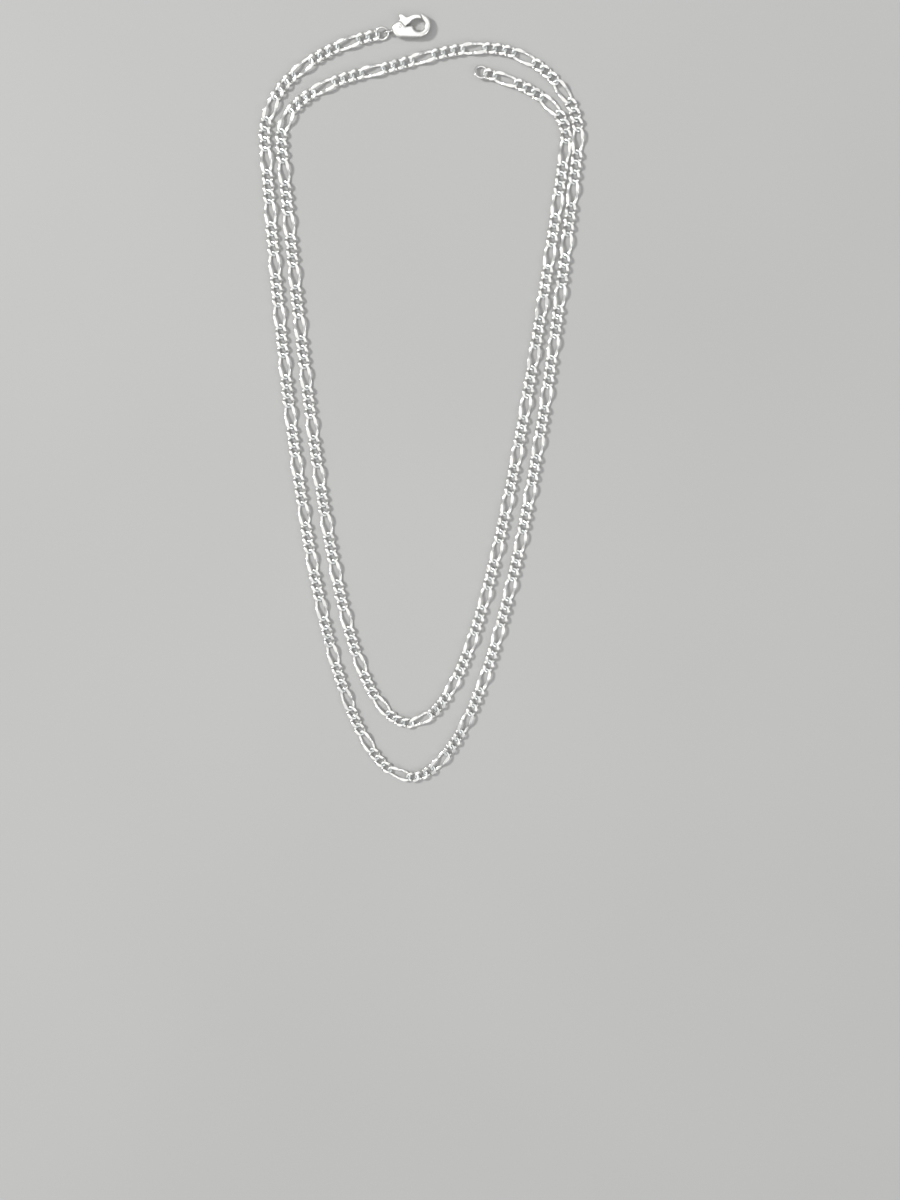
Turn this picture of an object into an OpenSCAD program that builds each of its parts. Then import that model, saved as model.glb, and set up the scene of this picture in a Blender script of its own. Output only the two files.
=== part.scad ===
// Long Figaro chain necklace, laid flat in a double coil with its clasp undone.
// X runs across the necklace, +Y toward the nape, +Z up off the table it lies on.
// Origin: on the table, at the middle of the necklace's footprint.

/* [Links] */
// round wire every link is bent from
wire_d = 0.62; // [0.5:0.02:0.9]
// distance a short link carries the chain along
short_pitch = 2.6; // [2.2:0.1:3.2]
// distance a long link carries the chain along
long_pitch = 5.8; // [4.5:0.1:8]
// free play where two links hook together
play = 0.14; // [0.1:0.02:0.4]
// radius of a link's end bend, to the wire centre
bend_r = 1.18; // [0.9:0.02:1.4]
// how far each end bend is twisted out of the flat, the two ends opposite ways
bend_tilt = 40; // [28:1:44]
// half angle of a short link's end bend
short_sweep = 60; // [50:1:80]
// half angle of a long link's end bend
long_sweep = 72; // [60:1:88]
// 1 or -1: which way the twist runs
hand = -1; // [-1:2:1]

/* [Chain] */
// links in a full hinged length of the chain
segment_links = 8; // [8:1:8]
// repeats of three short links and a long one
repeats = 65; // [65:1:65]
// every this-many-th link is a long one
repeat_links = 4; // [2:1:6]
// path length before the first link
chain_start = 1.4; // [0:0.1:14]

/* [Route] */
// lowest point of the longer loop below the shoulder line
drop_outer = 177; // [140:1:220]
// lowest point of the shorter loop below the shoulder line
drop_inner = 161; // [120:1:200]
// radius at the bottom of the longer loop
tip_r_outer = 7.8; // [5:0.1:15]
// radius at the bottom of the shorter loop
tip_r_inner = 6.8; // [5:0.1:15]
// what the shorter loop's width radius settles to higher up
side_r_inner = 3.6; // [2:0.1:6]
// height over which the longer loop's width radius halves
spread_outer = 295; // [100:5:500]
// height over which the shorter loop's width radius settles
spread_inner = 57; // [20:1:300]
// sideways shift of both loops' lowest points
sag_x = -4.1; // [-10:0.1:10]
// sideways shift of the longer loop at the shoulder line
top_x_outer = -0.25; // [-2:0.05:2]
// sideways shift of the shorter loop at the shoulder line
top_x_inner = 0.3; // [-2:0.05:2]
// height of the nape arch, outer track
rise_outer = 27; // [20:0.5:40]
// height of the nape arch, inner track
rise_inner = 18; // [12:0.5:30]
// where the outer track's end stops, round the arch from the right
clasp_at = 104; // [92:1:140]
// where the inner track's end stops, round the arch from the right
ring_at = 78; // [40:1:88]

/* [Rings] */
// wire of the two end rings
ring_wire_d = 0.7; // [0.5:0.05:1]
// radius of the end rings, to the wire centre
ring_r = 1.6; // [1.3:0.05:2.5]
// how far the end rings lie out of the flat
ring_tilt = 22; // [10:1:30]

/* [Clasp] */
// thickness of the clasp body
clasp_t = 2.2; // [1.8:0.1:3]
// round the loop of the hook, outside
hook_r = 3.0; // [2.5:0.1:4]
// round the loop of the hook, inside
hook_hole_r = 1.6; // [1.2:0.1:2.5]
// from the eye to the middle of the hook
hook_x = 8.2; // [7:0.1:12]
// radius of the belly that holds the lever
belly_r = 2.0; // [1.6:0.1:3]
// from the eye to the middle of the belly
belly_x = 3.1; // [2.8:0.1:4]
// eye at the tail, to the wire centre
eye_r = 1.0; // [0.7:0.05:1.2]
// wire of the eye
eye_wire_d = 0.6; // [0.5:0.05:0.9]
// width of the slot the lever turns in
slot_t = 1.24; // [1:0.02:1.6]
// diameter of the pin the lever turns on
pin_d = 0.7; // [0.5:0.05:1]

/* [Hidden] */
silver = [0.88, 0.88, 0.87];
round_fn = 24;

// A link's arcs are joined at a hundredth of full size and scaled up, which keeps
// their meeting faces together to far less than a micron.
tiny = 0.01;

chain_z = 1.09;   // wire centre plane of the links above the table
ring_z = 1.18;    // end rings
clasp_z = eye_r + eye_wire_d / 2;   // clasp, resting on its eye

// --- route of the chain's centre line --------------------------------------------

function half_width(v, tip_r, side_r, spread) =
  sqrt(2 * v * (side_r + (tip_r - side_r) / (1 + v / spread)));
function outer_x(v, side) =
  top_x_outer + (sag_x - top_x_outer) * (1 - v / drop_outer)
  + side * half_width(v, tip_r_outer, 0, spread_outer);
function inner_x(v, side) =
  top_x_inner + (sag_x - top_x_inner) * (1 - v / drop_inner)
  + side * half_width(v, tip_r_inner, side_r_inner, spread_inner);

// b is 0 on the outer track and 1 on the inner one
function mix(p, q, b) = p + (q - p) * b;
function smooth(t) = let (c = min(max(t, 0), 1)) c * c * (3 - 2 * c);
function arch(a, b) =
  let (xr = mix(outer_x(drop_outer, 1), inner_x(drop_inner, 1), b),
       xl = mix(outer_x(drop_outer, -1), inner_x(drop_inner, -1), b))
  [(xr + xl) / 2 + (xr - xl) / 2 * cos(a), mix(rise_outer, rise_inner, b) * sin(a)];

side_steps = 90;
arch_step = 1.5;
cross_from = 44;   // where the middle strand starts to move from the outer track inward
cross_to = 112;    // and where it gets there
function loop_v(i, drop) = drop * pow(i / side_steps, 2);

route = concat(
  [for (a = [clasp_at : arch_step : 180 - arch_step / 2]) arch(a, 0)],
  [for (i = [side_steps : -1 : 0])
    let (v = loop_v(i, drop_outer)) [outer_x(v, -1), v - drop_outer]],
  [for (i = [1 : side_steps])
    let (v = loop_v(i, drop_outer)) [outer_x(v, 1), v - drop_outer]],
  [for (a = [arch_step : arch_step : 180 - arch_step / 2])
    arch(a, smooth((a - cross_from) / (cross_to - cross_from)))],
  [for (i = [side_steps : -1 : 0])
    let (v = loop_v(i, drop_inner)) [inner_x(v, -1), v - drop_inner]],
  [for (i = [1 : side_steps])
    let (v = loop_v(i, drop_inner)) [inner_x(v, 1), v - drop_inner]],
  [for (a = [arch_step : arch_step : ring_at]) arch(a, 1)]);

route_s = [for (i = 0, s = 0; i < len(route);
  s = s + (i + 1 < len(route) ? norm(route[i + 1] - route[i]) : 0), i = i + 1) s];
route_x = [for (i = [0 : len(route) - 1]) [route_s[i], route[i][0]]];
route_y = [for (i = [0 : len(route) - 1]) [route_s[i], route[i][1]]];
// middle of the footprint, counted from the middle of the shoulder line
mid = [-0.31, -73.56];
function at(s) = [lookup(s, route_x) - mid[0], lookup(s, route_y) - mid[1]];

// --- where each link goes ----------------------------------------------------------

long_place = 2;   // place of the long link in its repeat, counted from 0
function is_long(k) = k % repeat_links == long_place;
function pitch_of(k) = is_long(k) ? long_pitch : short_pitch;
link_count = repeats * repeat_links;
junction_s = [for (k = 0, s = chain_start; k <= link_count; s = s + pitch_of(k), k = k + 1) s];
function junction(k) = at(junction_s[k]);

module on_chord(p, q, z) {
  d = q - p;
  translate([(p[0] + q[0]) / 2, (p[1] + q[1]) / 2, z]) rotate([0, 0, atan2(d[1], d[0])])
    children();
}

// --- one link ----------------------------------------------------------------------

function unit(v) = v / norm(v);

// wire along the one arc that leaves p in direction t and reaches q
module wire_arc(p, t, q, d) {
  chord = q - p;
  half = acos(t * unit(chord));
  r = norm(chord) / 2 / sin(half);
  n = unit(cross(t, chord));
  inward = cross(n, t);
  o = p + r * inward;
  multmatrix([[-inward[0], t[0], n[0], o[0]],
              [-inward[1], t[1], n[1], o[1]],
              [-inward[2], t[2], n[2], o[2]],
              [0, 0, 0, 1]])
    rotate_extrude(angle = 2 * half) translate([r, 0]) circle(d = d, $fn = round_fn);
}

// half a link: one end bend, and the leg on each side as far as the link's middle
module half_link(half_len, sweep, r, d) {
  tilt = hand * bend_tilt;
  p = [half_len - r + r * cos(sweep), r * sin(sweep) * cos(tilt), r * sin(sweep) * sin(tilt)];
  t = [-sin(sweep), cos(sweep) * cos(tilt), cos(sweep) * sin(tilt)];
  m = -(t[0] * p[0] + t[2] * p[2]);
  k = p[0] * p[0] + p[2] * p[2];
  q = [0, p[1] + (sqrt(m * m + t[1] * t[1] * k) - m) / t[1], 0];
  translate([half_len - r, 0, 0]) rotate([tilt, 0, 0]) rotate([0, 0, -sweep])
    rotate_extrude(angle = 2 * sweep) translate([r, 0]) circle(d = d, $fn = round_fn);
  wire_arc(p, t, q, d);
  rotate([180, 0, 0]) wire_arc(p, t, q, d);
}

module link(pitch, sweep) {
  half_len = tiny * (pitch + wire_d + play) / 2;
  scale(1 / tiny) union() {
    half_link(half_len, sweep, tiny * bend_r, tiny * wire_d);
    rotate([0, 180, 0]) half_link(half_len, sweep, tiny * bend_r, tiny * wire_d);
  }
}

module segment(n) {
  for (k = [(n - 1) * segment_links : min(n * segment_links, link_count) - 1])
    on_chord(junction(k), junction(k + 1), chain_z)
      link(pitch_of(k), is_long(k) ? long_sweep : short_sweep);
}

// --- rings and clasp -----------------------------------------------------------------

hook_in = (wire_d + ring_wire_d) / 2 + play - (wire_d + play) / 2;   // ring wire inside the last link
ring_out = ring_r - hook_in;   // ring centre beyond the last junction
module ring() {
  rotate([-hand * ring_tilt, 0, 0])
    rotate_extrude() translate([ring_r, 0]) circle(d = ring_wire_d, $fn = round_fn);
}

// frames at the two ends of the chain, +X away from the chain
module at_start(x, z) {
  p = junction(0);
  d = junction(0) - junction(1);
  translate([p[0], p[1], z]) rotate([0, 0, atan2(d[1], d[0])]) translate([x, 0, 0]) children();
}
module at_end(x, z) {
  p = junction(link_count);
  d = p - junction(link_count - 1);
  translate([p[0], p[1], z]) rotate([0, 0, atan2(d[1], d[0])]) translate([x, 0, 0]) children();
}

eye_gap = 0.22;   // between the ring's wire and the eye's
clasp_x = ring_out + ring_r + eye_r - (eye_wire_d + ring_wire_d) / 2 - eye_gap;

pin_x = 3.4;
pin_y = 0.7;
tip_angle = 46;      // where the hook's free tip ends inside, round the hook from its nose
gate_x = 4.3;        // where the lever leaves the belly
lever_t = slot_t - 0.16;
fit = 0.08;          // running clearance
spring_wire_d = 0.15;
spring_turns = 3;
spring_pitch = 0.9 * spring_wire_d;   // the turns press into each other, so the coil is one piece
spring_gap = 0.15;   // from the pin's surface to the coil's wire centre
spring_room = 0.32;  // from the pin's surface to the wall of the coil's pocket
slot_corner = [2.3, -0.6];   // the lever's slot, its corner nearest the eye
slot_size = [4.6, 5];

module slab(t) { translate([0, 0, -t / 2]) linear_extrude(t) children(); }

// as far from the pin as the lever's tip reaches: just short of the hook's own tip
hook_tip = [hook_x + hook_hole_r * cos(tip_angle), hook_hole_r * sin(tip_angle)];
lever_reach = norm(hook_tip - [pin_x, pin_y]) - fit;

// the part of the outline taken up by the lever and its opening
module gate_outline() {
  far = hook_r + 1;
  intersection() {
    polygon([[gate_x, 0.35], [gate_x, far], [hook_x + far, far], [hook_x + far, 0],
             [hook_x, 0]]);
    translate([pin_x, pin_y]) circle(r = lever_reach + fit);
  }
}

module clasp_body_shape() {
  difference() {
    union() {
      slab(clasp_t) difference() {
        union() {
          translate([belly_x, 0]) circle(r = belly_r);
          polygon([[belly_x - 0.3, -belly_r + 0.05], [hook_x - 0.4, -hook_r + 0.04],
                   [hook_x - 0.4, hook_r - 0.04], [belly_x - 0.3, belly_r - 0.05]]);
          translate([hook_x, 0]) circle(r = hook_r);
        }
        translate([hook_x, 0]) circle(r = hook_hole_r);
        gate_outline();
      }
      rotate([90, 0, 0]) rotate_extrude() translate([eye_r, 0])
        circle(d = eye_wire_d, $fn = round_fn);
    }
    // slot for the lever, open to the loop and to the thumb's side
    translate([slot_corner[0], slot_corner[1], -slot_t / 2])
      cube([slot_size[0], slot_size[1], slot_t]);
    translate([pin_x, pin_y, -clasp_t]) cylinder(d = pin_d, h = 2 * clasp_t);
  }
}

// lever outline, closed position
module lever_outline() {
  intersection() {
    polygon([[2.75, 1.25], [2.75, 0.35], [3.2, 0.0], [4.6, 0.0], [5.6, 0.85], [7.6, 1.75],
             [8.4, 1.7], [9.5, 1.1], [9.5, 2.2], [8.4, 2.75], [6.8, 2.8],
             [5.5, 2.4], [4.7, 3.3], [4.0, 3.7], [3.4, 3.5], [3.7, 2.6], [3.4, 2.0]]);
    translate([pin_x, pin_y]) circle(r = lever_reach);
  }
}

module clasp_lever_shape() {
  difference() {
    slab(lever_t) lever_outline();
    translate([pin_x, pin_y, -clasp_t]) cylinder(d = pin_d + fit, h = 2 * clasp_t);
    // room for the coil beside the lever's hub
    translate([pin_x, pin_y, lever_t / 2 - spring_turns * spring_wire_d - fit])
      cylinder(r = pin_d / 2 + spring_room, h = lever_t);
  }
}

module lever_spring_shape() {
  r = pin_d / 2 + spring_gap;
  z = lever_t / 2 - spring_turns * spring_wire_d;
  translate([pin_x, pin_y, z]) rotate_extrude()
    for (i = [0 : spring_turns - 1])
      translate([r, (i + 0.5) * spring_pitch]) circle(d = spring_wire_d, $fn = round_fn);
}

// --- one module per sub-part ------------------------------------------------------------

module chain_01() color(silver) segment(1);
module chain_02() color(silver) segment(2);
module chain_03() color(silver) segment(3);
module chain_04() color(silver) segment(4);
module chain_05() color(silver) segment(5);
module chain_06() color(silver) segment(6);
module chain_07() color(silver) segment(7);
module chain_08() color(silver) segment(8);
module chain_09() color(silver) segment(9);
module chain_10() color(silver) segment(10);
module chain_11() color(silver) segment(11);
module chain_12() color(silver) segment(12);
module chain_13() color(silver) segment(13);
module chain_14() color(silver) segment(14);
module chain_15() color(silver) segment(15);
module chain_16() color(silver) segment(16);
module chain_17() color(silver) segment(17);
module chain_18() color(silver) segment(18);
module chain_19() color(silver) segment(19);
module chain_20() color(silver) segment(20);
module chain_21() color(silver) segment(21);
module chain_22() color(silver) segment(22);
module chain_23() color(silver) segment(23);
module chain_24() color(silver) segment(24);
module chain_25() color(silver) segment(25);
module chain_26() color(silver) segment(26);
module chain_27() color(silver) segment(27);
module chain_28() color(silver) segment(28);
module chain_29() color(silver) segment(29);
module chain_30() color(silver) segment(30);
module chain_31() color(silver) segment(31);
module chain_32() color(silver) segment(32);
module chain_33() color(silver) segment(33);
module end_ring() color(silver) at_end(ring_out, ring_z) ring();
module clasp_ring() color(silver) at_start(ring_out, ring_z) ring();
module clasp_body() color(silver) at_start(clasp_x, clasp_z) clasp_body_shape();
module clasp_lever() color(silver) at_start(clasp_x, clasp_z) clasp_lever_shape();
module lever_pin() color(silver) at_start(clasp_x, clasp_z)
  translate([pin_x, pin_y, -clasp_t / 2]) cylinder(d = pin_d, h = clasp_t);
module lever_spring() color(silver) at_start(clasp_x, clasp_z) lever_spring_shape();

chain_01();
chain_02();
chain_03();
chain_04();
chain_05();
chain_06();
chain_07();
chain_08();
chain_09();
chain_10();
chain_11();
chain_12();
chain_13();
chain_14();
chain_15();
chain_16();
chain_17();
chain_18();
chain_19();
chain_20();
chain_21();
chain_22();
chain_23();
chain_24();
chain_25();
chain_26();
chain_27();
chain_28();
chain_29();
chain_30();
chain_31();
chain_32();
chain_33();
end_ring();
clasp_ring();
clasp_body();
clasp_lever();
lever_pin();
lever_spring();
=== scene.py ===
import math

import bmesh
import bpy
import numpy as np
from mathutils import Matrix, Vector


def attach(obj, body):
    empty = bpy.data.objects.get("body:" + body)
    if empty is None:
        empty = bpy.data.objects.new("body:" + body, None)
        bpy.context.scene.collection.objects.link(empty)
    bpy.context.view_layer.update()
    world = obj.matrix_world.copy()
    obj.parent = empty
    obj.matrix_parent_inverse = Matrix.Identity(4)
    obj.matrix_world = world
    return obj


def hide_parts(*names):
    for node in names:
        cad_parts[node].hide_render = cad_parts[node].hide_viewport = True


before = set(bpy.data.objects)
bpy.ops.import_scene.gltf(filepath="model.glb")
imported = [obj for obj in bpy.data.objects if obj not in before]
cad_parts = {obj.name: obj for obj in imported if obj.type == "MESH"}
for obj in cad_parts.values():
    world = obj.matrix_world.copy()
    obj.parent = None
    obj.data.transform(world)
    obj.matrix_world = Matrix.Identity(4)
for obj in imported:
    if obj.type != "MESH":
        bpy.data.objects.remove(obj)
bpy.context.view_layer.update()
MM = 0.001
rng = np.random.default_rng(7)

# ---------------------------------------------------------------- sizes, mm, as in the part
WIRE, PLAY, BEND_R, TILT = 0.62, 0.14, 1.18, -40.0
PITCH = {"short": 2.6, "long": 5.8}
SWEEP = {"short": 60.0, "long": 72.0}
LINKS, PER_NODE, START = 260, 8, 1.4
LINK_Z, RING_Z, CLASP_Z, EYE_Z = 0.93, 0.955, 1.3, 1.25
MID = np.array([-0.31, -73.56])
DROP = (177.0, 161.0)
TIP_R, SIDE_R, SPREAD = (7.8, 6.8), (0.0, 3.6), (295.0, 57.0)
SAG_X, TOP_X, RISE = -4.1, (-0.25, 0.3), (27.0, 18.0)
CLASP_AT, RING_AT, CROSS = 104.0, 78.0, (44.0, 112.0)
RING_R, RING_WIRE, RING_TILT = 1.6, 0.7, 22.0
EYE_R, EYE_WIRE, EYE_GAP = 1.0, 0.6, 0.22
HOOK_X, HOOK_R, HOOK_HOLE = 8.2, 3.0, 1.6
BELLY_X, BELLY_R, CLASP_T = 3.1, 2.0, 2.2
SLOT_T, PIN_D, PIN_X, PIN_Y = 1.24, 0.7, 3.4, 0.7
TIP_ANGLE = 46.0


# ---------------------------------------------------------------- route of the chain
def side_x(v, side, k):
    """X of loop k (0 longer, 1 shorter) at height v above its lowest point; side is -1 or 1."""
    half = np.sqrt(2 * v * (SIDE_R[k] + (TIP_R[k] - SIDE_R[k]) / (1 + v / SPREAD[k])))
    return TOP_X[k] + (SAG_X - TOP_X[k]) * (1 - v / DROP[k]) + side * half


def arch(a, b):
    """Point at angle a round the nape arch, b from 0 on the outer track to 1 on the inner."""
    x = [[side_x(DROP[k], s, k) for k in (0, 1)] for s in (1, -1)]
    xr, xl = (p[0] + (p[1] - p[0]) * b for p in x)
    a = math.radians(a)
    rise = RISE[0] + (RISE[1] - RISE[0]) * b
    return ((xr + xl) / 2 + (xr - xl) / 2 * math.cos(a), rise * math.sin(a))


def loop(k):
    down = [DROP[k] * (i / 90) ** 2 for i in range(90, -1, -1)]
    left = [(side_x(v, -1, k), v - DROP[k]) for v in down]
    return left + [(side_x(v, 1, k), v - DROP[k]) for v in down[::-1][1:]]


def smooth(t):
    t = min(max(t, 0.0), 1.0)
    return t * t * (3 - 2 * t)


def route():
    pts = [arch(a, 0) for a in np.arange(CLASP_AT, 179.3, 1.5)] + loop(0)
    for a in np.arange(1.5, 179.3, 1.5):
        pts.append(arch(a, smooth((a - CROSS[0]) / (CROSS[1] - CROSS[0]))))
    pts += loop(1) + [arch(a, 1) for a in np.arange(1.5, RING_AT + 0.1, 1.5)]
    return np.array(pts)


def link_kind(k):
    return "long" if k % 4 == 2 else "short"


def junctions():
    p = route()
    s = np.r_[0, np.cumsum(np.linalg.norm(np.diff(p, axis=0), axis=1))]
    at = START + np.r_[0, np.cumsum([PITCH[link_kind(k)] for k in range(LINKS)])]
    return np.c_[np.interp(at, s, p[:, 0]), np.interp(at, s, p[:, 1])] - MID


JOINT = junctions()


# ---------------------------------------------------------------- one link
def arc(p, t, q, n):
    """n points on the one arc that leaves p in direction t and reaches q."""
    c = q - p
    ch = c / np.linalg.norm(c)
    half = math.acos(np.clip(t @ ch, -1, 1))
    r = np.linalg.norm(c) / 2 / math.sin(half)
    nrm = np.cross(t, ch)
    nrm /= np.linalg.norm(nrm)
    side = np.cross(nrm, t)
    a = np.linspace(0, 2 * half, n)[:, None]
    return p + r * (np.sin(a) * t + (1 - np.cos(a)) * side)


def link_centre(name, count):
    """The wire's centre line, a closed loop of evenly spaced points."""
    half_len = (PITCH[name] + WIRE + PLAY) / 2
    w, b = math.radians(SWEEP[name]), math.radians(TILT)
    cx = half_len - BEND_R
    rise = BEND_R * math.sin(w)
    p = np.array([cx + BEND_R * math.cos(w), rise * math.cos(b), rise * math.sin(b)])
    t = np.array([-math.sin(w), math.cos(w) * math.cos(b), math.cos(w) * math.sin(b)])
    m, k = -(t[0] * p[0] + t[2] * p[2]), p[0] ** 2 + p[2] ** 2
    q = np.array([0, p[1] + (math.sqrt(m * m + t[1] ** 2 * k) - m) / t[1], 0])
    leg = arc(p, t, q, 40)
    a = np.linspace(-w, w, 80)[:, None]
    across = BEND_R * np.sin(a)
    end = np.c_[cx + BEND_R * np.cos(a), across * math.cos(b), across * math.sin(b)]
    flip_y, flip_x = np.array([-1, 1, -1]), np.array([1, -1, -1])
    half = [end, leg[1:], (leg * flip_y)[::-1][1:], (end * flip_y)[::-1][1:],
            (leg * flip_x * flip_y)[1:], (leg * flip_x)[::-1][1:]]
    pts = np.vstack(half)
    s = np.r_[0, np.cumsum(np.linalg.norm(np.diff(pts, axis=0), axis=1))]
    u = np.linspace(0, s[-1], count, endpoint=False)
    return np.c_[[np.interp(u, s, pts[:, i]) for i in range(3)]].T


def soft_cap(z, top, e=0.015):
    """z, held smoothly below top."""
    return top - e * np.log1p(np.exp((top - z) / e))


AROUND = 18
ALONG = {"short": 56, "long": 80}
LEG_HALF, END_HALF = 0.39, 0.31     # half the wire's width in plan, on the legs and round the ends
ROLLED = 0.25                       # half height the wire is rolled flat to
TOP_SQUASH, LOW_SQUASH = 0.50, 0.72
TOP_CUT, LOW_CUT = 0.37, 0.68
WAIST = 0.15                        # how much wider the pressed wire lies at each junction
WAIST_REACH = {"short": 1.3, "long": 2.8}


def link_mesh(name):
    """Vertices, faces and a painted-shade value for the crevices at the link's ends, for one polished link,
    flattened top and bottom.
    """
    c = link_centre(name, ALONG[name])
    t = np.roll(c, -1, 0) - np.roll(c, 1, 0)
    t /= np.linalg.norm(t, axis=1)[:, None]
    up = np.array([0, 0, 1.0])
    u = up - (t @ up)[:, None] * t
    u /= np.linalg.norm(u, axis=1)[:, None]
    v = np.cross(t, u)
    half_len = (PITCH[name] + WIRE + PLAY) / 2
    a = (np.arange(AROUND) + 0.5) / AROUND * 2 * math.pi
    w = np.clip((np.abs(c[:, 0]) - half_len + 1.45) / 0.9, 0, 1)
    half = LEG_HALF + (END_HALF - LEG_HALF) * w * w * (3 - 2 * w)
    ru = np.clip(WIRE / 2 * np.cos(a), -ROLLED, ROLLED)
    rv = half[:, None] * np.sin(a)[None, :]
    co = c[:, None] + ru[None, :, None] * u[:, None] + rv[:, :, None] * v[:, None]
    z = co[:, :, 2]
    z = z * (LOW_SQUASH + (TOP_SQUASH - LOW_SQUASH) / (1 + np.exp(-z / 0.12)))
    co[:, :, 2] = -soft_cap(-soft_cap(z, TOP_CUT), LOW_CUT)
    near = np.clip(1 - np.abs(np.abs(co[:, :, 0]) - PITCH[name] / 2) / WAIST_REACH[name], 0, 1)
    co[:, :, 1] *= 1 + WAIST * near * near * (3 - 2 * near)
    n = len(c)
    i, j = np.meshgrid(np.arange(n), np.arange(AROUND), indexing="ij")
    f = np.stack([i * AROUND + j, i * AROUND + (j + 1) % AROUND,
                  (i + 1) % n * AROUND + (j + 1) % AROUND, (i + 1) % n * AROUND + j], -1)
    co = co.reshape(-1, 3)
    # painted shade: a value that is high near the link's ends, where the links cross and shade falls
    # between the wires
    near_end = np.clip((np.abs(co[:, 0]) - half_len + 2.0) / 1.3, 0, 1)
    near_axis = np.clip(1.2 - np.abs(co[:, 1]) / 1.2, 0, 1)
    return co, f.reshape(-1, 4), near_end * near_axis


LINK = {k: link_mesh(k) for k in PITCH}


# ---------------------------------------------------------------- materials
def tree(name):
    """A new material with a Principled shader on its output."""
    m = bpy.data.materials.new(name)
    m.use_nodes = True
    t = m.node_tree
    t.nodes.clear()
    out, bsdf = t.nodes.new("ShaderNodeOutputMaterial"), t.nodes.new("ShaderNodeBsdfPrincipled")
    t.links.new(bsdf.outputs[0], out.inputs[0])
    return m, t, bsdf


def feed(t, n, ins):
    """Links or sets the inputs of node n."""
    for k, v in ins.items():
        if isinstance(v, bpy.types.NodeSocket):
            t.links.new(v, n.inputs[k])
        else:
            n.inputs[k].default_value = v


def node(t, kind, ins=None, **props):
    n = t.nodes.new(kind)
    for k, v in props.items():
        setattr(n, k, v)
    feed(t, n, ins or {})
    return n


def spread(t, value, lo, hi, a=0.3, b=0.7):
    """Maps value from a..b to lo..hi."""
    return node(t, "ShaderNodeMapRange", {0: value, 1: a, 2: b, 3: lo, 4: hi}).outputs[0]


def mix(t, fac, a, b):
    return node(t, "ShaderNodeMix", {0: fac, 6: a, 7: b}, data_type="RGBA").outputs[2]


def make_silver(name, bright=1.0, rough=0.14, lean=0.05):
    """Polished sterling silver: slow tone drift, fine polishing marks, and painted shade darkening the
    crevices where links meet.
    """
    m, t, bsdf = tree(name)
    co = node(t, "ShaderNodeTexCoord").outputs["Object"]
    slow = node(t, "ShaderNodeTexNoise", {"Vector": co, "Scale": 320.0, "Detail": 3.0}).outputs[0]
    fine = node(t, "ShaderNodeTexNoise", {"Vector": co, "Scale": 5200.0, "Detail": 4.0}).outputs[0]
    tone = node(t, "ShaderNodeAttribute", attribute_name="tone")
    painted_shade = node(t, "ShaderNodeAttribute", attribute_name="painted_shade")
    light = (0.955 * bright, 0.945 * bright, 0.925 * bright, 1)
    dull = (0.86 * bright, 0.855 * bright, 0.84 * bright, 1)
    base = mix(t, spread(t, slow, 0, 1), dull, light)
    # painted shade: the crevice value mixes the colour toward a darker grey-green (0.70, 0.75, 0.75) where
    # the links cross
    base = mix(t, spread(t, painted_shade.outputs["Fac"], 0, 0.5, 0.35, 1.0), base, (0.70, 0.75, 0.75, 1))
    t.links.new(base, bsdf.inputs["Base Color"])
    bsdf.inputs["Metallic"].default_value = 1.0
    r = node(t, "ShaderNodeMath", {0: spread(t, fine, rough * 0.75, rough * 1.35),
                                   1: spread(t, tone.outputs["Fac"], 0.0, 0.05, 0, 1)}, operation="ADD")
    t.links.new(r.outputs[0], bsdf.inputs["Roughness"])
    normal = node(t, "ShaderNodeNewGeometry").outputs["Normal"]
    lean_v = node(t, "ShaderNodeAttribute", attribute_name="lean").outputs["Vector"]
    lean_s = node(t, "ShaderNodeVectorMath", {0: lean_v, "Scale": lean}, operation="SCALE").outputs[0]
    tipped = node(t, "ShaderNodeVectorMath", {0: normal, 1: lean_s}, operation="ADD").outputs[0]
    unit = node(t, "ShaderNodeVectorMath", {0: tipped}, operation="NORMALIZE").outputs[0]
    bump = node(t, "ShaderNodeBump", {"Height": fine, "Strength": 0.12, "Distance": 0.00003,
                                      "Normal": unit})
    t.links.new(bump.outputs[0], bsdf.inputs["Normal"])
    return m


def make_floor():
    """Matt pale paint."""
    m, t, bsdf = tree("table_paint")
    co = node(t, "ShaderNodeTexCoord").outputs["Object"]
    slow = node(t, "ShaderNodeTexNoise", {"Vector": co, "Scale": 6.0, "Detail": 2.0}).outputs[0]
    fine = node(t, "ShaderNodeTexNoise", {"Vector": co, "Scale": 900.0, "Detail": 3.0}).outputs[0]
    paint = mix(t, spread(t, slow, 0, 1), (0.42, 0.42, 0.415, 1), (0.44, 0.44, 0.435, 1))
    t.links.new(paint, bsdf.inputs["Base Color"])
    t.links.new(spread(t, fine, 0.72, 0.85), bsdf.inputs["Roughness"])
    bsdf.inputs["Specular IOR Level"].default_value = 0.1
    bump = node(t, "ShaderNodeBump", {"Height": fine, "Strength": 0.08, "Distance": 0.00005})
    t.links.new(bump.outputs[0], bsdf.inputs["Normal"])
    return m


SILVER = make_silver("silver_polished")
SILVER_CAST = make_silver("silver_cast", 0.97, 0.17)
STEEL = make_silver("spring_steel", 0.72, 0.22)


# ---------------------------------------------------------------- meshes
def finish_mesh(name, co, faces, material, body, nodes, values=None):
    """A piece from points in mm, riding on body and standing for CAD nodes."""
    me = bpy.data.meshes.new(name)
    me.from_pydata((np.asarray(co) * MM).tolist(), [], [list(map(int, f)) for f in faces])
    me.polygons.foreach_set("use_smooth", [True] * len(me.polygons))
    me.materials.append(material)
    n = len(me.vertices)
    values = values or {}
    for key in ("tone", "painted_shade"):
        at = me.attributes.new(key, "FLOAT", "POINT")
        at.data.foreach_set("value", np.asarray(values.get(key, np.zeros(n)), np.float32))
    at = me.attributes.new("lean", "FLOAT_VECTOR", "POINT")
    at.data.foreach_set("vector", np.asarray(values.get("lean", np.zeros((n, 3))), np.float32).ravel())
    me.update()
    o = bpy.data.objects.new(name, me)
    bpy.context.scene.collection.objects.link(o)
    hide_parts(*nodes)
    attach(o, body)
    return o


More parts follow.
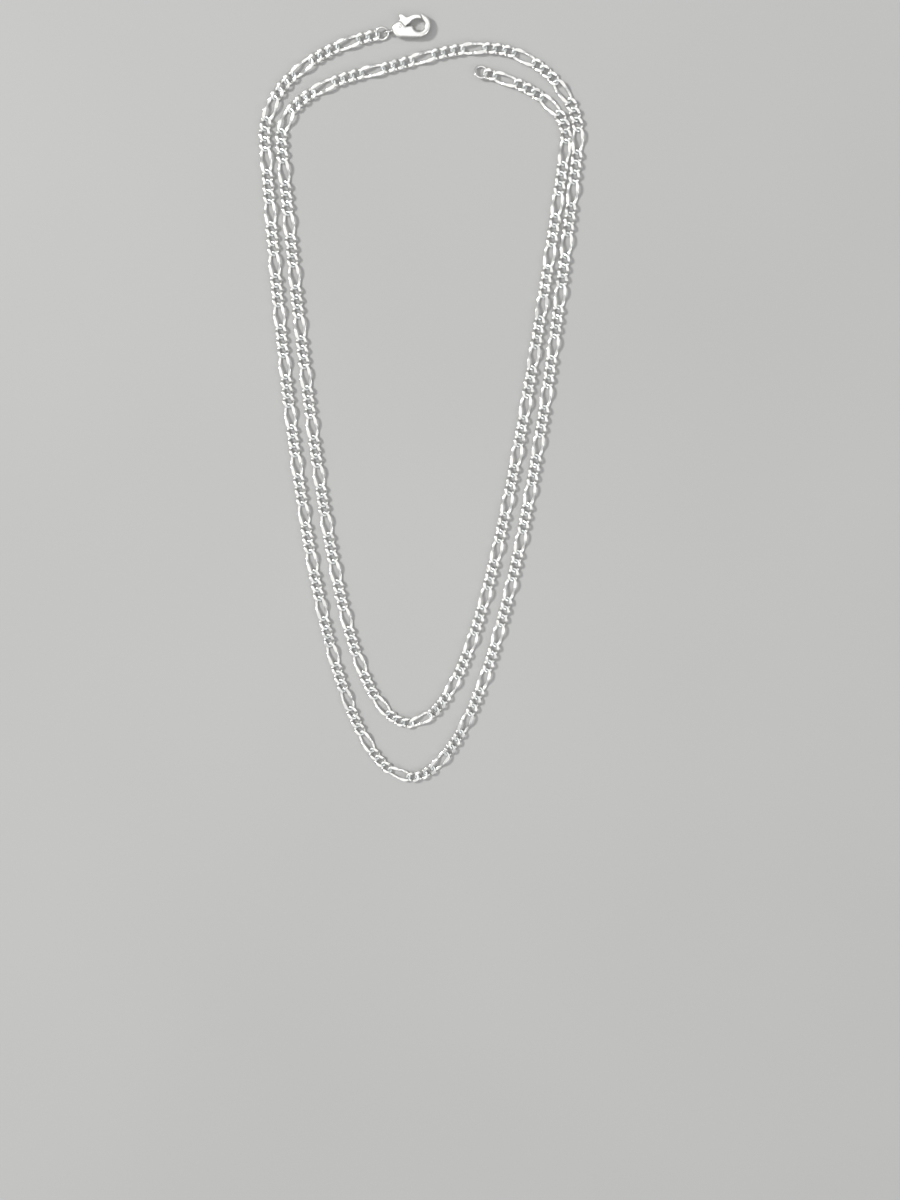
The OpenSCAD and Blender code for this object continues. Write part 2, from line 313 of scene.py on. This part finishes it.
def chain_length(number):
    """One hinged length of the chain: its interlocked links, each a separate closed loop of wire."""
    co, faces, tone, painted_shade, lean = [], [], [], [], []
    base = 0
    for k in range((number - 1) * PER_NODE, min(number * PER_NODE, LINKS)):
        v, f, d = LINK[link_kind(k)]
        p, q = JOINT[k], JOINT[k + 1]
        a = math.atan2(*(q - p)[::-1])
        c, s = math.cos(a), math.sin(a)
        turn = np.array([[c, -s, 0], [s, c, 0], [0, 0, 1]])
        co.append(v @ turn.T + [*(p + q) / 2, LINK_Z])
        faces.append(f + base)
        base += len(v)
        tone.append(np.full(len(v), rng.uniform()))
        # painted-shade value for this link's crevices at its ends
        painted_shade.append(d)
        lean.append(np.tile(np.r_[rng.normal(0, 1, 2), 0], (len(v), 1)))
    name = "chain_%02d" % number
    values = {"tone": np.concatenate(tone), "painted_shade": np.concatenate(painted_shade), "lean": np.vstack(lean)}
    return finish_mesh("links_%02d" % number, np.vstack(co), np.vstack(faces), SILVER,
                       name, [name], values)


def torus(r, wire, n=64, m=20):
    turn = 2 * math.pi
    a, b = np.meshgrid(np.arange(n) / n * turn, np.arange(m) / m * turn, indexing="ij")
    d = r + wire / 2 * np.cos(b)
    co = np.stack([d * np.cos(a), d * np.sin(a), wire / 2 * np.sin(b)], -1).reshape(-1, 3)
    i, j = np.meshgrid(np.arange(n), np.arange(m), indexing="ij")
    i2, j2 = (i + 1) % n, (j + 1) % m
    f = np.stack([i * m + j, i2 * m + j, i2 * m + j2, i * m + j2], -1)
    return co, f.reshape(-1, 4)


def tube(path, r, m=12):
    """Closed-ended wire along a path, with rounded ends."""
    path = np.asarray(path, float)
    t = np.gradient(path, axis=0)
    t /= np.linalg.norm(t, axis=1)[:, None]
    u = np.cross(t, [0.0, 0.0, 1.0])
    u /= np.linalg.norm(u, axis=1)[:, None]
    v = np.cross(t, u)
    a = np.arange(m) / m * 2 * math.pi
    rings, n = [], len(path)
    steps = [(0, -1, x) for x in (0.95, 0.7)]
    steps += [(i, 0, 0) for i in range(n)]
    steps += [(n - 1, 1, x) for x in (0.7, 0.95)]
    for i, way, x in steps:
        rad = r * math.sqrt(max(1 - x * x, 0)) if way else r
        c = path[i] + t[i] * way * x * r
        rings.append(c + rad * (np.cos(a)[:, None] * u[i] + np.sin(a)[:, None] * v[i]))
    k = len(rings)
    co = np.vstack(rings + [[path[0] - t[0] * r], [path[-1] + t[-1] * r]])
    f = [[i * m + j, i * m + (j + 1) % m, (i + 1) * m + (j + 1) % m, (i + 1) * m + j]
         for i in range(k - 1) for j in range(m)]
    f += [[k * m, (j + 1) % m, j] for j in range(m)]
    f += [[k * m + 1, (k - 1) * m + j, (k - 1) * m + (j + 1) % m] for j in range(m)]
    return co, f


def end_frame(p, q):
    """Turn and origin of the frame at a chain end, +X away from the chain."""
    d = (p - q) / np.linalg.norm(p - q)
    return np.array([[d[0], -d[1], 0], [d[1], d[0], 0], [0, 0, 1]]), p


START_FRAME = end_frame(JOINT[0], JOINT[1])
END_FRAME = end_frame(JOINT[LINKS], JOINT[LINKS - 1])
HOOK_IN = (WIRE + RING_WIRE) / 2 + PLAY - (WIRE + PLAY) / 2
RING_OUT = RING_R - HOOK_IN
CLASP_OUT = RING_OUT + RING_R + EYE_R - (EYE_WIRE + RING_WIRE) / 2 - EYE_GAP


def placed(co, where, x, z):
    """Points moved into an end frame, x outward from the chain's end and z up."""
    turn, p = where
    return (np.asarray(co) + [x, 0, 0]) @ turn.T + [p[0], p[1], z]


# ---------------------------------------------------------------- end rings
def ring(name, where):
    co, f = torus(RING_R, RING_WIRE - 0.06)
    a = math.radians(RING_TILT)
    roll = np.array([[1, 0, 0], [0, math.cos(a), -math.sin(a)], [0, math.sin(a), math.cos(a)]])
    return finish_mesh(name + "_wire", placed(co @ roll.T, where, RING_OUT, RING_Z), f,
                       SILVER, name, [name])


# ---------------------------------------------------------------- clasp
def outline_solid(name, loops, thick, edge):
    """A plate with rounded edges from closed outlines; later outlines are holes."""
    cu = bpy.data.curves.new(name, "CURVE")
    cu.dimensions, cu.fill_mode = "2D", "BOTH"
    cu.extrude, cu.bevel_depth, cu.bevel_resolution = thick / 2 - edge, edge, 5
    cu.offset = -edge
    for pts in loops:
        sp = cu.splines.new("POLY")
        sp.points.add(len(pts) - 1)
        for p, (x, y) in zip(sp.points, pts):
            p.co = (x, y, 0, 1)
        sp.use_cyclic_u = True
    o = bpy.data.objects.new(name, cu)
    bpy.context.scene.collection.objects.link(o)
    me = bpy.data.meshes.new_from_object(o)
    bpy.data.objects.remove(o)
    bm = bmesh.new()
    bm.from_mesh(me)
    bmesh.ops.remove_doubles(bm, verts=bm.verts, dist=1e-4)
    bmesh.ops.recalc_face_normals(bm, faces=bm.faces)
    bm.to_mesh(me)
    bm.free()
    return me


def boolean(me, other, way):
    a, b = (bpy.data.objects.new("tmp_" + n, m) for n, m in (("a", me), ("b", other)))
    for o in (a, b):
        bpy.context.scene.collection.objects.link(o)
    mod = a.modifiers.new("cut", "BOOLEAN")
    mod.object, mod.operation, mod.solver = b, way, "EXACT"
    bpy.context.view_layer.update()
    out = bpy.data.meshes.new_from_object(a.evaluated_get(
        bpy.context.evaluated_depsgraph_get()))
    bpy.data.objects.remove(a)
    bpy.data.objects.remove(b)
    return out


def cast(me, voxel, steps, outline, dome):
    """Softens a cut shape the way polishing does, and thins it a little toward its outline."""
    o = bpy.data.objects.new("tmp_cast", me)
    bpy.context.scene.collection.objects.link(o)
    grid = o.modifiers.new("grid", "REMESH")
    grid.mode, grid.voxel_size = "VOXEL", voxel
    soft = o.modifiers.new("soft", "SMOOTH")
    soft.factor, soft.iterations = 0.5, steps
    bpy.context.view_layer.update()
    out = bpy.data.meshes.new_from_object(o.evaluated_get(bpy.context.evaluated_depsgraph_get()))
    bpy.data.objects.remove(o)
    co = np.array([v.co for v in out.vertices])
    edge = np.array(outline, float)
    edge = np.vstack([np.linspace(p, q, 10) for p, q in zip(edge, np.roll(edge, -1, 0))])
    near = np.concatenate([np.min(np.linalg.norm(c[:, None, :2] - edge[None], axis=2), axis=1)
                           for c in np.array_split(co, 40)])
    rim = 1 - np.clip(near / 0.9, 0, 1)
    co[:, 2] *= np.where(near > 0, 1 - dome * rim * rim, 1)
    return co, [list(p.vertices) for p in out.polygons]


def solid(name, co, faces):
    me = bpy.data.meshes.new(name)
    me.from_pydata(np.asarray(co, float).tolist(), [], [list(map(int, f)) for f in faces])
    bm = bmesh.new()
    bm.from_mesh(me)
    bmesh.ops.recalc_face_normals(bm, faces=bm.faces)
    bm.to_mesh(me)
    bm.free()
    return me


def block(lo, hi):
    co = [(x, y, z) for x in (lo[0], hi[0]) for y in (lo[1], hi[1]) for z in (lo[2], hi[2])]
    faces = [(0, 1, 3, 2), (4, 6, 7, 5), (0, 4, 5, 1), (2, 3, 7, 6), (0, 2, 6, 4), (1, 5, 7, 3)]
    return solid("block", co, faces)


def cylinder(x, y, r, lo, hi, n=48):
    a = np.arange(n) / n * 2 * math.pi
    rim = np.c_[x + r * np.cos(a), y + r * np.sin(a)]
    co = np.vstack([np.c_[rim, np.full(n, lo)], np.c_[rim, np.full(n, hi)]])
    f = [[i, (i + 1) % n, n + (i + 1) % n, n + i] for i in range(n)]
    f += [list(range(n))[::-1], list(range(n, 2 * n))]
    return solid("cylinder", co, f)


def arc_pts(cx, cy, r, a0, a1, n):
    a = np.radians(np.linspace(a0, a1, n))
    return list(zip(cx + r * np.cos(a), cy + r * np.sin(a)))


def bezier(p0, p1, p2, p3, n):
    t = np.linspace(0, 1, n)[:, None]
    p0, p1, p2, p3 = map(np.array, (p0, p1, p2, p3))
    pts = (1 - t) ** 3 * p0 + 3 * t * (1 - t) ** 2 * p1 + 3 * t * t * (1 - t) * p2 + t ** 3 * p3
    return [tuple(p) for p in pts]


REACH = math.hypot(HOOK_X + HOOK_HOLE * math.cos(math.radians(TIP_ANGLE)) - PIN_X,
                   HOOK_HOLE * math.sin(math.radians(TIP_ANGLE)) - PIN_Y)


def body_outline():
    """The clasp body: belly, back, hook round the loop to its free tip, then back inside the loop."""
    pts = arc_pts(BELLY_X, 0, BELLY_R, 70, 262, 40)
    pts += bezier(pts[-1], (4.4, -2.25), (6.0, -2.85), (HOOK_X - 0.3, -HOOK_R + 0.02), 14)[1:-1]
    pts += arc_pts(HOOK_X, 0, HOOK_R, -94, 56, 50)
    tip = arc_pts(PIN_X, PIN_Y, REACH + 0.03, 15.5, 7.5, 8)
    pts += bezier(pts[-1], (9.55, 2.72), (9.02, 2.75), tip[0], 10)[1:]
    pts += tip[1:]
    inner = arc_pts(HOOK_X, 0, HOOK_HOLE, 37, -180, 60)
    pts += bezier(pts[-1], (9.36, 1.25), (9.40, 1.12), inner[0], 6)[1:]
    pts += inner[1:]
    pts += bezier(pts[-1], (6.6, 0.3), (5.6, 0.25), (4.9, 0.35), 8)[1:]
    pts += bezier(pts[-1], (4.5, 0.5), (4.4, 1.0), (4.1, 1.45), 8)[1:-1]
    return pts


def clasp_body():
    me = outline_solid("body_plate", [body_outline()], CLASP_T, 0.3)
    eye_co, eye_f = torus(EYE_R, EYE_WIRE - 0.1, 48, 16)
    eye_co = eye_co[:, [0, 2, 1]] * [1, -1, 1] + [0, 0, EYE_Z - CLASP_Z]
    me = boolean(me, solid("eye", eye_co, eye_f), "UNION")
    me = boolean(me, block((2.3, -0.6, -SLOT_T / 2), (6.9, 4.4, SLOT_T / 2)), "DIFFERENCE")
    me = boolean(me, cylinder(PIN_X, PIN_Y, PIN_D / 2 + 0.005, -3, 3), "DIFFERENCE")
    co, faces = cast(me, 0.07, 5, body_outline(), 0.14)
    w = np.clip((co[:, 0] - 7.0) / 4.0, 0, 1)
    co[:, 2] *= 1 - 0.22 * w * w * (3 - 2 * w)
    return finish_mesh("clasp_shell", placed(co, START_FRAME, CLASP_OUT, CLASP_Z), faces,
                       SILVER_CAST, "clasp_body", ["clasp_body"])


def lever_outline():
    pts = arc_pts(PIN_X, PIN_Y, 0.68, 150, 290, 14)
    pts += bezier(pts[-1], (4.4, 0.15), (4.9, 0.6), (5.9, 1.05), 10)[1:]
    tip = arc_pts(PIN_X, PIN_Y, REACH - 0.09, 6.0, 15.0, 8)
    pts += bezier(pts[-1], (6.9, 1.95), (8.3, 2.0), tip[0], 14)[1:]
    pts += tip[1:]
    pts += bezier(pts[-1], (8.75, 2.75), (7.4, 2.95), (6.5, 2.72), 12)[1:]
    pts += bezier(pts[-1], (5.9, 2.6), (5.5, 2.4), (5.2, 2.75), 6)[1:]
    pts += bezier(pts[-1], (4.9, 3.2), (4.4, 3.7), (3.9, 3.68), 8)[1:]
    pts += bezier(pts[-1], (3.45, 3.6), (3.5, 3.2), (3.66, 2.7), 6)[1:]
    pts += bezier(pts[-1], (3.75, 2.2), (3.3, 1.9), (2.95, 1.45), 6)[1:-1]
    return pts


def clasp_lever():
    thick = SLOT_T - 0.16
    me = outline_solid("lever_plate", [lever_outline()], thick, 0.16)
    me = boolean(me, cylinder(PIN_X, PIN_Y, PIN_D / 2 + 0.04, -3, 3), "DIFFERENCE")
    me = boolean(me, cylinder(PIN_X, PIN_Y, PIN_D / 2 + 0.32, thick / 2 - 0.53, 3), "DIFFERENCE")
    co, faces = cast(me, 0.05, 4, lever_outline(), 0.0)
    return finish_mesh("lever_blade", placed(co, START_FRAME, CLASP_OUT, CLASP_Z), faces,
                       SILVER_CAST, "clasp_lever", ["clasp_lever"])


def lever_pin():
    """The pin, its two ends peened to shallow domes."""
    h, r = CLASP_T / 2, PIN_D / 2
    prof = [(0.0, -h - 0.06), (0.2, -h - 0.045), (0.3, -h - 0.015), (r, -h + 0.04), (r, h - 0.04),
            (0.3, h + 0.015), (0.2, h + 0.045), (0.0, h + 0.06)]
    n, inner = 32, prof[1:-1]
    a = np.arange(n) / n * 2 * math.pi
    co = [(PIN_X + d * math.cos(x), PIN_Y + d * math.sin(x), z) for d, z in inner for x in a]
    f = [[i * n + j, i * n + (j + 1) % n, (i + 1) * n + (j + 1) % n, (i + 1) * n + j]
         for i in range(len(inner) - 1) for j in range(n)]
    low, top = len(co), len(co) + 1
    co += [(PIN_X, PIN_Y, prof[0][1]), (PIN_X, PIN_Y, prof[-1][1])]
    last = (len(inner) - 1) * n
    f += [[low, (j + 1) % n, j] for j in range(n)] + [[top, last + j, last + (j + 1) % n] for j in range(n)]
    return finish_mesh("lever_rivet", placed(co, START_FRAME, CLASP_OUT, CLASP_Z), f, SILVER_CAST,
                       "clasp_body", ["lever_pin"])


def lever_spring():
    r, z0 = PIN_D / 2 + 0.15, (SLOT_T - 0.16) / 2 - 0.42
    a = np.linspace(0, 2 * math.pi * 2.75, 110)
    path = np.c_[PIN_X + r * np.cos(a), PIN_Y + r * np.sin(a), z0 + 0.15 * a / (2 * math.pi)]
    co, f = tube(path, 0.065)
    return finish_mesh("spring_coil", placed(co, START_FRAME, CLASP_OUT, CLASP_Z), f, STEEL,
                       "clasp_body", ["lever_spring"])


# ---------------------------------------------------------------- build
for number in range(1, 34):
    chain_length(number)
ring("clasp_ring", START_FRAME)
ring("end_ring", END_FRAME)
clasp_body()
clasp_lever()
lever_pin()
lever_spring()

# ---------------------------------------------------------------- table, light, camera
AIM = Vector((7.59, -51.54, 1.0)) * MM
TOWARD = Vector((0, math.sin(math.radians(12)), math.cos(math.radians(12))))

bpy.ops.mesh.primitive_plane_add(size=30.0, location=(0, 0, 0))
floor = bpy.context.object
floor.name = "table_top"
floor.data.materials.append(make_floor())


def softbox(name, at, target, size, energy, colour=(1, 1, 1)):
    li = bpy.data.lights.new(name, "AREA")
    li.shape, li.size, li.size_y = "RECTANGLE", size[0], size[1]
    li.energy, li.color = energy, colour
    o = bpy.data.objects.new(name, li)
    bpy.context.scene.collection.objects.link(o)
    o.location = at
    o.rotation_mode = "QUATERNION"
    o.rotation_quaternion = (Vector(target) - Vector(at)).to_track_quat("-Z", "Y")
    return o


softbox("key", (-1.35, 0.70, 1.35), (0, -0.05, 0), (0.28, 0.28), 30.0, (1, 0.992, 0.98))
softbox("fill", (1.20, -0.70, 0.90), (0, -0.05, 0), (0.50, 0.60), 3.0, (0.96, 0.98, 1.0))

world = bpy.data.worlds.new("studio")
bpy.context.scene.world = world
world.use_nodes = True
wt = world.node_tree
wt.nodes.clear()
gen = node(wt, "ShaderNodeTexCoord").outputs["Generated"]
cap_axis = (-0.04, -0.20, 0.98)
cap = node(wt, "ShaderNodeVectorMath", {0: gen, 1: cap_axis}, operation="DOT_PRODUCT").outputs["Value"]
height = node(wt, "ShaderNodeSeparateXYZ", {0: gen}).outputs[2]
low = mix(wt, spread(wt, height, 0, 1, 0.0, 0.6), (0.18, 0.20, 0.205, 1), (0.55, 0.56, 0.56, 1))
patch = node(wt, "ShaderNodeTexNoise", {"Vector": gen, "Scale": 3.4, "Detail": 1.0}).outputs[0]
lit = mix(wt, spread(wt, patch, 0, 1, 0.38, 0.62), (0.50, 0.515, 0.53, 1), (1.34, 1.33, 1.31, 1))
sky = mix(wt, spread(wt, cap, 0, 1, 0.55, 0.80), low, lit)
seen = node(wt, "ShaderNodeLightPath").outputs["Is Camera Ray"]
sky = mix(wt, seen, sky, (0.62, 0.62, 0.61, 1))
back = node(wt, "ShaderNodeBackground", {"Color": sky, "Strength": 1.0})
wt.links.new(back.outputs[0], node(wt, "ShaderNodeOutputWorld").inputs[0])

cam_data = bpy.data.cameras.new("camera")
cam = bpy.data.objects.new("camera", cam_data)
bpy.context.scene.collection.objects.link(cam)
cam_data.sensor_width, cam_data.lens = 36.0, 51.4
cam_data.clip_start, cam_data.clip_end = 0.02, 20.0
cam.location = AIM + TOWARD * 0.479
cam.rotation_mode = "QUATERNION"
cam.rotation_quaternion = Matrix.Rotation(-math.radians(12), 3, "X").to_quaternion()
bpy.context.scene.camera = cam
bpy.context.scene.view_settings.view_transform = "Standard"
